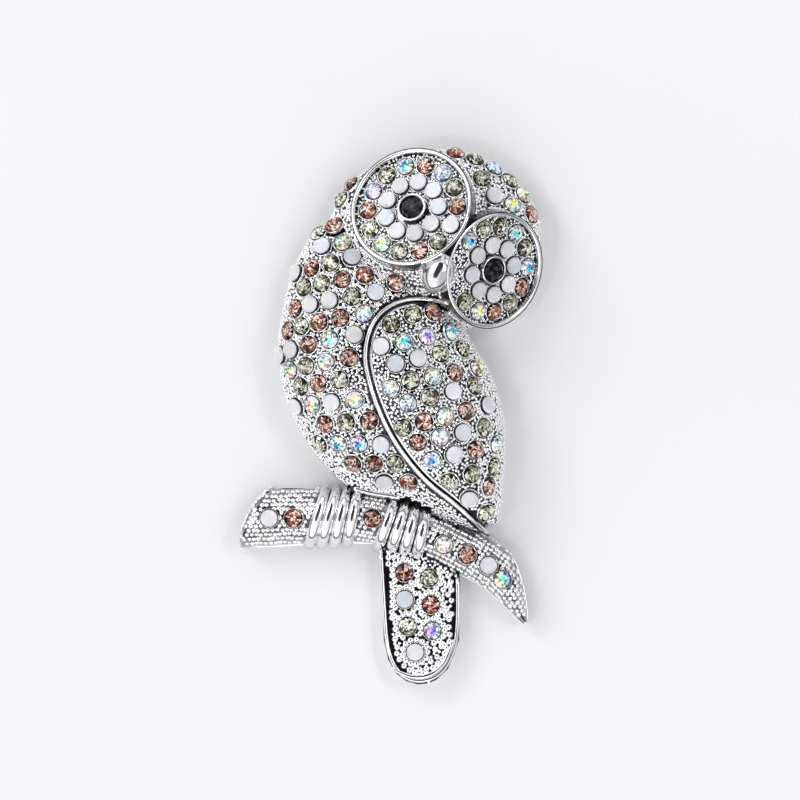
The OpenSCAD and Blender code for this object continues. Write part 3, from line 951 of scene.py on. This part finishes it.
# %% Finer grain on the floors of the dishes
DISH_PITCH = 0.32 * MM
DISH_BEAD = 0.22 * MM
DISH_MARGIN = 0.12 * MM
PUPIL_CLEAR = 2.3 * MM
RIM_CLEAR = 0.66 * MM
ON_FLOOR = 0.6 * MM


def on_dish_floor(point, normal):
    for dish in dishes.values():
        side, height = in_dish_frame(point, dish)
        if PUPIL_CLEAR < side < dish["radius"] - RIM_CLEAR and abs(height) < ON_FLOOR:
            return normal.dot(dish["up"]) > 0.9 and clear_of_stones(point, DISH_MARGIN)
    return False


dish_points = scatter(on_dish_floor, DISH_PITCH, seed=12, tries=60000)
bead_piece("dish_grain", dish_points, DISH_BEAD, flat=0.7)

# %% [markdown]
# On the branch the beads lie in rows that follow its length. Each row is the branch's middle line
# moved sideways, and we walk along it in steps of one bead. Every second row starts half a bead
# later, so the beads nest. A small jitter breaks the rows up, as on the real casting.

# %% Walk along a line


def walk(line, step):
    """Places one step apart along a line, each with the direction sideways."""
    spots, carry = [], 0.0
    for a, b in zip(line, line[1:]):
        run = (b - a).length
        side = Vector((-(b - a).y, (b - a).x)) / run
        while carry < run:
            spots.append((a.lerp(b, carry / run), side))
            carry += step
        carry -= run
    return spots


def settle(spots, pitch):
    """Drops spots that crowd an earlier one."""
    kept = []
    for spot, normal in spots:
        if all((spot - other).length > pitch for other, _ in kept):
            kept.append((spot, normal))
    return kept


def beside(line, offset):
    """The line moved sideways by a fixed distance."""
    moved = []
    for i, p in enumerate(line):
        a, b = line[max(i - 1, 0)], line[min(i + 1, len(line) - 1)]
        along = (b - a).normalized()
        moved.append(p + Vector((-along.y, along.x)) * offset)
    return moved


middle_line = plan_polygon(BRANCH_LINE)
print("the branch is about", len(walk(middle_line, 1 * MM)), "mm long")

# %% Rows of beads on the branch
BRANCH_PITCH = 0.66 * MM
ROW_PITCH = 0.866 * BRANCH_PITCH
ROWS_EACH_SIDE = 9
JITTER = 0.075 * MM
BRANCH_MARGIN = 0.28 * MM
BRANCH_STONE_MARGIN = 0.20 * MM
BRANCH_CROWN = 5.6 * MM
BRANCH_BEAD = 0.365 * MM
BRANCH_CROWDED = 0.48 * MM

branch_spots = []
luck = random.Random(5)
for row in range(-ROWS_EACH_SIDE, ROWS_EACH_SIDE + 1):
    lane = beside(middle_line, row * ROW_PITCH)
    lane[0] = lane[0] + (lane[1] - lane[0]).normalized() * BRANCH_PITCH * 0.5 * (row % 2)
    for place, _ in walk(lane, BRANCH_PITCH):
        x, y = place.x + luck.uniform(-JITTER, JITTER), place.y + luck.uniform(-JITTER, JITTER)
        if not inside(branch_poly, x, y) or edge_distance(branch_poly, x, y) < BRANCH_MARGIN:
            continue
        spot, normal = drop(x, y)
        if spot is None or on_toes(x, y) or spot.z > BRANCH_CROWN:
            continue
        if clear_of_stones(spot, BRANCH_STONE_MARGIN):
            branch_spots.append((spot, normal))
bead_piece("branch_grain", settle(branch_spots, BRANCH_CROWDED), BRANCH_BEAD, spread=0.12,
           lift=0.08 * MM, flat=0.8)

# %% [markdown]
# On the tail the beads are larger. A ring of them stands round each stone, more large ones are
# thrown at the room between the rings, and small ones fill what is left.

# %% Throw points at the tail
TAIL_DECK = 2.4 * MM
RING_BEADS = 13
RING_REACH = 0.57 * MM
TAIL_TRIES = 9000
TAIL_CORNERS = ((378, 686), (462, 548))
TAIL_MIDDLE = plan(412, 0).x
LEFT_MARGIN = 1.3 * MM
RIGHT_MARGIN = 1.25 * MM
UNDER_BRANCH = 0.3 * MM
TAIL_STONE_MARGIN = 0.44 * MM

tail_spots = []
for stone in fields["tail_stones"]:
    reach = stone["radius"] + RING_REACH
    for i in range(RING_BEADS):
        turn = math.tau * i / RING_BEADS
        tail_spots.append(stone["seat"].xy + reach * Vector((math.cos(turn), math.sin(turn))))
luck = random.Random(21)
low_corner, high_corner = (plan(*corner) for corner in TAIL_CORNERS)
for _ in range(TAIL_TRIES):
    tail_spots.append(Vector((luck.uniform(low_corner.x, high_corner.x),
                              luck.uniform(low_corner.y, high_corner.y))))
tail_points = []
for x, y in tail_spots:
    spot = Vector((x, y, TAIL_DECK))
    margin = LEFT_MARGIN if x < TAIL_MIDDLE else RIGHT_MARGIN
    if not inside(tail_poly, x, y) or edge_distance(tail_poly, x, y, closed=False) < margin:
        continue
    if inside(branch_poly, x, y) and edge_distance(branch_poly, x, y) > UNDER_BRANCH:
        continue
    if clear_of_stones(spot, TAIL_STONE_MARGIN):
        tail_points.append((spot, Vector((0, 0, 1))))
print(len(tail_points), "of", len(tail_spots), "points are on the tail")

# %% Large and small beads on the tail
TAIL_BEAD = 0.47 * MM
TAIL_PITCH = 0.72 * MM
TAIL_SEED = 0.27 * MM
SEED_PITCH = 0.44 * MM
SEED_CLEAR = 0.56 * MM
large = settle(tail_points, TAIL_PITCH)
free = [(p, n) for p, n in tail_points if all((p - q).length > SEED_CLEAR for q, _ in large)]
small = settle(free, SEED_PITCH)
bead_piece("tail_grain", large, TAIL_BEAD, segments=12, rings=7, spread=0.05, lift=0.1 * MM,
           flat=0.75)
bead_piece("tail_seed_grain", small, TAIL_SEED, spread=0.1, lift=0.1 * MM)

# %% [markdown]
# ## Polished trim
# The rims of the eye dishes, their sloping walls and the bezels round the pupils are polished
# rings. Each is a small closed profile, spun about the dish's axis and then stood up along it.

# %% Spin the rims, walls and bezels


def round_profile(radius, height, wide, tall, count=12):
    """An oval section at that radius and height, as (radius, height) points."""
    return [(radius + wide * math.cos(math.tau * i / count),
             height + tall * math.sin(math.tau * i / count)) for i in range(count)]


def polished(bm, name):
    """A smooth, polished piece of the casting's trim."""
    for face in bm.faces:
        face.smooth = True
    piece = finish_mesh(bm, name, [silver_polish])
    return piece


def dish_ring(name, dish, profile, steps):
    bm = bmesh.new()
    spin_profile(bm, profile, steps)
    bmesh.ops.transform(bm, matrix=stand_at(dish["middle"], dish["up"]), verts=bm.verts)
    polished(bm, name)


RIM_HEIGHT = 0.68 * MM
RIM_RADIUS = 0.32 * MM
BEZEL_REACH = 1.88 * MM
BEZEL_HEIGHT = 0.66 * MM
for side, dish in dishes.items():
    rim = dish["radius"] - 0.36 * MM
    lip, foot = dish["radius"] - 0.44 * MM, dish["radius"] - 0.58 * MM
    wall = [(lip, 0.75 * MM), (foot, 0.0), (foot + 0.08 * MM, -0.1 * MM),
            (lip + 0.1 * MM, 0.72 * MM)]
    bezel = round_profile(BEZEL_REACH, BEZEL_HEIGHT, 0.16 * MM, 0.24 * MM)
    dish_ring(side + "_dish_rim", dish, round_profile(rim, RIM_HEIGHT, RIM_RADIUS, RIM_RADIUS), 96)
    dish_ring(side + "_dish_wall", dish, wall, 96)
    dish_ring(side + "_pupil_bezel", dish, bezel, 48)
print("rings spun for", len(dishes), "dishes")

# %% [markdown]
# The wing's leading edge, the hem of the breast and the borders of tail and branch are polished
# wires laid on the metal. Each is a curve through a few points of the chart, dropped onto the
# casting and given a round section. Turning the curve into a mesh fixes its shape. A second, thin
# wire runs beside the wing's edge, one groove further in.

# %% Lay polished wires


def wire(name, points, radius, closed=False, lift=0.1 * MM, taper=None):
    """A round wire along (x, y, z) points."""
    curve = bpy.data.curves.new(name, "CURVE")
    curve.dimensions = "3D"
    curve.bevel_depth = radius
    curve.bevel_resolution = 3
    curve.resolution_u = 6
    curve.use_fill_caps = True
    spline = curve.splines.new("NURBS")
    spline.points.add(len(points) - 1)
    for i, (target, point) in enumerate(zip(spline.points, points)):
        target.co = (point.x, point.y, point.z + lift, 1.0)
        if taper:
            target.radius = taper(i / (len(points) - 1))
    spline.order_u = 3
    spline.use_endpoint_u = not closed
    spline.use_cyclic_u = closed
    obj = bpy.data.objects.new(name, curve)
    bpy.context.scene.collection.objects.link(obj)
    evaluated = obj.evaluated_get(bpy.context.evaluated_depsgraph_get())
    mesh = bpy.data.meshes.new_from_object(evaluated)
    bpy.data.objects.remove(obj)
    bm = bmesh.new()
    bm.from_mesh(mesh)
    bmesh.ops.remove_doubles(bm, verts=bm.verts, dist=WELD)
    bmesh.ops.recalc_face_normals(bm, faces=bm.faces)
    return polished(bm, name)


def dropped(pixels):
    """The places on the casting under a row of pixels, without those that miss it."""
    spots = [drop(*plan(*pixel).xy)[0] for pixel in pixels]
    return [spot for spot in spots if spot is not None]


# %% Wires of the wing and the breast
WING_WIRE = 0.25 * MM
CHANNEL_WIRE = 0.21 * MM
HEM_WIRE = 0.4 * MM
CHANNEL_PIXELS = 5.6
INWARD = [(0.1, 1), (0.1, 1), (0.2, 1), (0.45, 0.9), (0.6, 0.8), (0.8, 0.6), (0.9, 0.4), (1, 0.1),
          (1, 0), (1, -0.1), (1, -0.3), (0.95, -0.4), (0.9, -0.5), (0.85, -0.55), (0.8, -0.6),
          (0.75, -0.7), (0.7, -0.7), (0.68, -0.75), (0.66, -0.75), (0.66, -0.75), (0.6, -0.7),
          (0.5, -0.6)]
CHANNEL = [(px + CHANNEL_PIXELS * a, py + CHANNEL_PIXELS * b)
           for (px, py), (a, b) in zip(WING_EDGE, INWARD)]
wire("wing_rim", dropped(WING_EDGE), WING_WIRE, lift=0.16 * MM, taper=lambda s: 1.0 + 0.3 * s)
wire("wing_channel", dropped(CHANNEL[2:-1]), CHANNEL_WIRE, lift=0.0)
HEM = [(345, 485.5), (354, 488.5), (364, 491.5), (376, 494), (388, 495.5), (400, 497.5)]
wire("breast_hem", dropped(HEM), HEM_WIRE)
print("wires laid on wing and breast")

# %% [markdown]
# The edges of tail and branch run beside the casting's walls, where nothing can be dropped. Their
# wires keep one height, and the outline is drawn in by a little so that they stay in the box.

# %% Wires of the tail and the branch


def drawn_in(path, line, reach):
    """Moves an outline's points inwards by a fixed reach, towards the middle line given."""
    moved = []
    for p in path:
        target = min(line, key=lambda q: (q - p.xy).length)
        inward = (target - p.xy).normalized()
        moved.append(p + inward.to_3d() * reach)
    return moved


def at_height(pixels, height):
    return [plan(*pixel) + Vector((0, 0, height)) for pixel in pixels]


TAIL_TOP = 2.35 * MM
TAIL_WIRE = 0.30 * MM
TAIL_INSET = 0.36 * MM
LIP_WIRE = 0.44 * MM
LIP = [(390, 668), (404, 676), (419, 678.5), (433, 675), (444, 665), (450, 652), (453.5, 640)]
tail_line = plan_polygon([(420, y) for y in range(560, 660, 10)])
tail_path = drawn_in(at_height(TAIL_EDGE, TAIL_TOP), tail_line, TAIL_INSET)
wire("tail_rim", tail_path, TAIL_WIRE, lift=0.0)
wire("tail_lip", at_height(LIP, TAIL_TOP + 0.1 * MM), LIP_WIRE, lift=0.0,
     taper=lambda s: 0.4 + 0.6 * math.sin(math.pi * s) ** 0.5)
BRANCH_FOOT = 1.1 * MM
EDGE_WIRE = 0.24 * MM
BRANCH_INSET = 0.12 * MM
branch_line = [place for place, _ in walk(middle_line, 1 * MM)]
branch_path = at_height(BRANCH_TOP + BRANCH_LOW[::-1], BRANCH_FOOT)
edge_path = drawn_in(branch_path, branch_line, BRANCH_INSET)
for point in edge_path:
    point.x = max(cad_low[0] + EDGE_WIRE, min(cad_high[0] - EDGE_WIRE, point.x))
wire("branch_edge", edge_path, EDGE_WIRE, closed=True, lift=0.0)
print("points along tail and branch:", len(tail_path), len(edge_path))

# %% [markdown]
# The beak is a polished, rounded lozenge with a soft ridge, and each toe a fat curved wire that
# wraps over the branch. The beak starts as a ball. Its outline is pulled towards a curve between
# a circle and a lozenge, and its top towards a ridge, by formulas with uneven powers.

# %% Shape the beak
BEAK_SIZE = (3.05 * MM, 2.25 * MM, 1.93 * MM)
BEAK_TURN = math.radians(62)
LOZENGE = 1.6
RIDGE = 2.6
DOME = 0.6
spot, _ = drop(*plan(*BEAK_PIXEL).xy)
bm = bmesh.new()
bmesh.ops.create_icosphere(bm, subdivisions=4, radius=1.0)
for vert in bm.verts:
    x, y, z = vert.co
    if z > 0:
        vert.co.z = max(0.0, 1 - abs(x) ** RIDGE - abs(y) ** LOZENGE) ** DOME
    reach = (abs(x) ** LOZENGE + abs(y) ** LOZENGE) ** (1 / LOZENGE)
    round_reach = math.hypot(x, y)
    pull = round_reach / reach if reach > 1e-6 else 1.0
    pull = 1.0 + (pull - 1.0) * round_reach ** 4
    vert.co.x, vert.co.y = x * pull, y * pull
bmesh.ops.smooth_vert(bm, verts=bm.verts, factor=0.5, use_axis_x=True, use_axis_y=True,
                      use_axis_z=True)
bmesh.ops.scale(bm, verts=bm.verts, vec=BEAK_SIZE)
beak_middle = Vector((spot.x, spot.y, cad_high[2] - BEAK_SIZE[2]))
turned = Matrix.Translation(beak_middle) @ Matrix.Rotation(BEAK_TURN, 4, "Z")
bmesh.ops.transform(bm, matrix=turned, verts=bm.verts)
polished(bm, "beak").data.materials[0] = silver_beak
print("beak over metal at", round(spot.z / MM, 2), "mm")

# %% Wrap the toes
TOE_RADIUS = 0.88 * MM
TOE_FOOT = 1.5 * MM
TOE_TOP = 5.0 * MM


def toe_path(upper, lower, count=9):
    """Points over the branch on half an ellipse, from pixel to pixel."""
    path = []
    for i in range(count):
        share = i / (count - 1)
        px = Vector(upper).lerp(Vector(lower), share)
        bulge = math.sqrt(max(0.0, 1 - (2 * share - 1) ** 2))
        height = TOE_FOOT + (TOE_TOP - TOE_FOOT) * bulge
        path.append(plan(*px) + Vector((0, 0, height)))
    return path


def toe_taper(share):
    """A toe swells from the leg towards its tip."""
    return 0.82 + 0.24 * share ** 0.8


for foot, toes in (("left", LEFT_TOES), ("right", RIGHT_TOES)):
    for i, (upper, lower) in enumerate(toes):
        wire(f"{foot}_toe_{i + 1}", toe_path(upper, lower), TOE_RADIUS, lift=0.0, taper=toe_taper)
print("toes wrapped:", len(LEFT_TOES + RIGHT_TOES))

# %% [markdown]
# ## The casting and the pin
# The casting keeps its CAD shape. Under the beads its finish is dull and dark, painted shade that
# makes the grain read. The branch and the metal round the pupils get paler finishes, because on the
# dark one they showed black gaps and rings that the picture doesn't have. The pin is plain plated
# steel.

# %% Dress the CAD nodes


def dress(node, material, bevel=None):
    """Gives a CAD node its finish, joins its triangles and softens its edges."""
    obj = nodes[node]
    obj.data.materials.clear()
    obj.data.materials.append(material)
    weld = obj.modifiers.new("weld", "WELD")
    weld.merge_threshold = WELD
    if bevel:
        mod = obj.modifiers.new("bevel", "BEVEL")
        mod.width = bevel
        mod.segments = 2
        mod.limit_method = "ANGLE"


def metal_slot(middle, up):
    """0 for dark ground, 1 for the branch's bed, 2 for its slopes and the pupils' rings."""
    if any((middle - dish["middle"]).length < PUPIL_RING for dish in dishes.values()):
        return 2
    if middle.z < BRANCH_WALL or up < 0.05 or not inside(branch_poly, middle.x, middle.y):
        return 0
    if up < BRANCH_SLOPE:
        return 2
    return 1 if middle.x < BED_END else 0


BED_END = plan(425, 0).x
PUPIL_RING = 2.6 * MM
BRANCH_WALL = 0.5 * MM
BRANCH_SLOPE = 0.8
dress("owl_casting", silver_ground)
body = nodes["owl_casting"].data
body.materials.append(silver_bed)
body.materials.append(silver_slope)
for face in body.polygons:
    face.material_index = metal_slot(face.center, face.normal.z)
print("casting's faces by finish:", [sum(f.material_index == i for f in body.polygons)
                                     for i in range(3)])
dress("pin_clasp", pin_steel, bevel=0.1 * MM)

# %% [markdown]
# ## Floor, light and camera
# The brooch lies on its back on a pale sheet, and the camera looks straight down on it from a
# metre away. Polished metal shows what stands around it, so a white tent alone would leave it
# flat. The tent here has a dark hood overhead, as wide as it is long and rounded like a lens, set
# a little towards the brooch's top. It comes back as a dark spot on every bead and as a dark
# streak along every toe. The tent's right side is dimmer, and a dark band runs round its foot.
# Three soft lamps shape the brooch, and two small ones put sparks on the facets.

# %% Floor
FLOOR_SIZE = 1.5
FLOOR_GAP = 0.02 * MM
bm = bmesh.new()
bmesh.ops.create_grid(bm, x_segments=1, y_segments=1, size=FLOOR_SIZE)
bmesh.ops.translate(bm, verts=bm.verts, vec=(0, 0, cad_low[2] - FLOOR_GAP))
mesh = bpy.data.meshes.new("floor")
bm.to_mesh(mesh)
bm.free()
floor = bpy.data.objects.new("floor", mesh)
bpy.context.scene.collection.objects.link(floor)
floor_mat, tree, shader = new_material("pale_sheet")
paper = ramp(tree, object_noise(tree, 8.0).outputs["Fac"],
             [(0.3, grey(0.76, 0.01)), (0.7, grey(0.80, 0.01))])
link(tree, paper.outputs["Color"], shader.inputs["Base Color"])
shader.inputs["Roughness"].default_value = 0.6
mesh.materials.append(floor_mat)
print("floor at", round((cad_low[2] - FLOOR_GAP) / MM, 2), "mm")

# %% Lights


def area_light(name, place, size, power):
    """A square lamp that looks at the origin; place and size in metres, power in watts."""
    data = bpy.data.lights.new(name, "AREA")
    data.energy = power
    data.size = size
    lamp = bpy.data.objects.new(name, data)
    lamp.location = place
    lamp.rotation_euler = (-Vector(place)).to_track_quat("-Z", "Y").to_euler()
    bpy.context.scene.collection.objects.link(lamp)


area_light("key", (-0.52, 0.42, 0.42), 0.30, 1.5)
area_light("fill", (0.45, 0.05, 0.5), 0.25, 0.4)
area_light("low", (0.05, -0.5, 0.35), 0.20, 0.25)
area_light("spark_left", (-0.30, -0.12, 0.55), 0.05, 0.30)
area_light("spark_right", (0.34, 0.22, 0.50), 0.05, 0.30)
print("lamps:", len(bpy.data.lights))

# %% The tent
world = bpy.data.worlds.new("studio")
bpy.context.scene.world = world
world.use_nodes = True
wt = world.node_tree
coords = wt.nodes.new("ShaderNodeTexCoord")
split = wt.nodes.new("ShaderNodeSeparateXYZ")
link(wt, coords.outputs["Generated"], split.inputs[0])
sky = ramp(wt, split.outputs["Z"], [(0.0, grey(0.14, 0.01)), (0.16, grey(0.14, 0.01)),
                                    (0.36, grey(1.0, 0.01)), (1.0, grey(1.0, 0.01))])
print("tent's foot and top:", [round(e.color[0], 2) for e in sky.color_ramp.elements])

# %% Helpers for the tent


def share_of(direction):
    """How far the view runs along a direction, from -1 to 1."""
    node = wt.nodes.new("ShaderNodeVectorMath")
    node.operation = "DOT_PRODUCT"
    node.inputs[1].default_value = direction
    link(wt, coords.outputs["Generated"], node.inputs[0])
    return node.outputs["Value"]


def worked_out(operation, *values):
    """A Math node on sockets and plain numbers."""
    node = wt.nodes.new("ShaderNodeMath")
    node.operation = operation
    for target, value in zip(node.inputs, values):
        if isinstance(value, float):
            target.default_value = value
        else:
            link(wt, value, target)
    return node.outputs[0]


def fade(source, start, end):
    """0 at start and 1 at end, smooth between."""
    node = wt.nodes.new("ShaderNodeMapRange")
    node.interpolation_type = "SMOOTHSTEP"
    node.inputs["From Min"].default_value = start
    node.inputs["From Max"].default_value = end
    link(wt, source, node.inputs["Value"])
    return node.outputs["Result"]


# %% [markdown]
# The hood is worked out from how far a direction runs along the hood and across it. Both shares
# together make a number that is 0 in the hood's middle and about 1 at its edge, where a smooth
# fade softens it. Multiplying the tent's colour by the faded value hangs the hood in it.

# %% Hang the hood and dim the right side
HOOD_WAY = Vector((-0.34, 0.94, 0.0)).normalized()
HOOD_MIDDLE = 0.28
HOOD_HALF_LENGTH = 0.58
HOOD_HALF_WIDTH = 0.54
HOOD_EDGE = (1.08, 0.80)
DUSK_REACH = (0.05, 0.60)
TENT_STRENGTH = 1.38
across = worked_out("ABSOLUTE", share_of((HOOD_WAY.y, -HOOD_WAY.x, 0.0)))
stretch = worked_out("MULTIPLY_ADD", share_of(HOOD_WAY), 1 / HOOD_HALF_LENGTH,
                     -HOOD_MIDDLE / HOOD_HALF_LENGTH)
lens = worked_out("ADD", worked_out("MULTIPLY", across, 1 / HOOD_HALF_WIDTH),
                  worked_out("MULTIPLY", stretch, stretch))
covered = worked_out("MULTIPLY", fade(lens, *HOOD_EDGE), fade(split.outputs["Z"], 0.0, 0.2))
hood = ramp(wt, covered, [(0.0, grey(1.0)), (1.0, grey(0.05, 0.01))])
dusk = ramp(wt, fade(split.outputs["X"], *DUSK_REACH),
            [(0.0, grey(1.0)), (1.0, grey(0.62, 0.01))])
hooded = multiplied(wt, sky.outputs["Color"], hood.outputs["Color"])
tent = multiplied(wt, hooded.outputs[2], dusk.outputs["Color"])
link(wt, tent.outputs[2], wt.nodes["Background"].inputs["Color"])
wt.nodes["Background"].inputs["Strength"].default_value = TENT_STRENGTH
bpy.context.scene.view_settings.view_transform = "Standard"
print("tent strength", TENT_STRENGTH)

# %% [markdown]
# The camera looks straight down at the picture's middle. Its lens is worked out so that the
# picture's 800 pixels span their real width in the plane of the stones.

# %% Camera
PICTURE_WIDTH = 800 * PIXEL
CAMERA_HEIGHT = 1.0
STONE_PLANE = 5 * MM
SENSOR = 36.0
camera_data = bpy.data.cameras.new("camera")
camera_data.sensor_width = SENSOR
camera_data.lens = SENSOR * (CAMERA_HEIGHT - STONE_PLANE) / PICTURE_WIDTH
camera_data.clip_end = 10.0
camera = bpy.data.objects.new("camera", camera_data)
camera.location = plan(400, 400) + Vector((0, 0, CAMERA_HEIGHT))
bpy.context.scene.collection.objects.link(camera)
bpy.context.scene.camera = camera
print("lens", round(camera_data.lens, 1), "mm")

# %% [markdown]
# Last we measure: every piece that stands proud of the CAD box or is too heavy is printed, with
# how far it stands out and its count of triangles.

# %% Finish
HEAVY = 150000
bpy.context.view_layer.update()
for obj in bpy.context.scene.objects:
    if obj.type != "MESH" or obj.name == "floor" or obj.name in nodes:
        continue
    dressed = obj.evaluated_get(bpy.context.evaluated_depsgraph_get())
    corners = [Vector(c) for c in dressed.bound_box]
    proud = [max(max(c[i] for c in corners) - cad_high[i], cad_low[i] - min(c[i] for c in corners))
             for i in range(3)]
    triangles = sum(len(p.vertices) - 2 for p in dressed.data.polygons)
    if max(proud) > 0 or triangles > HEAVY:
        print("look at", obj.name, "proud", [round(v / MM, 2) for v in proud], triangles)
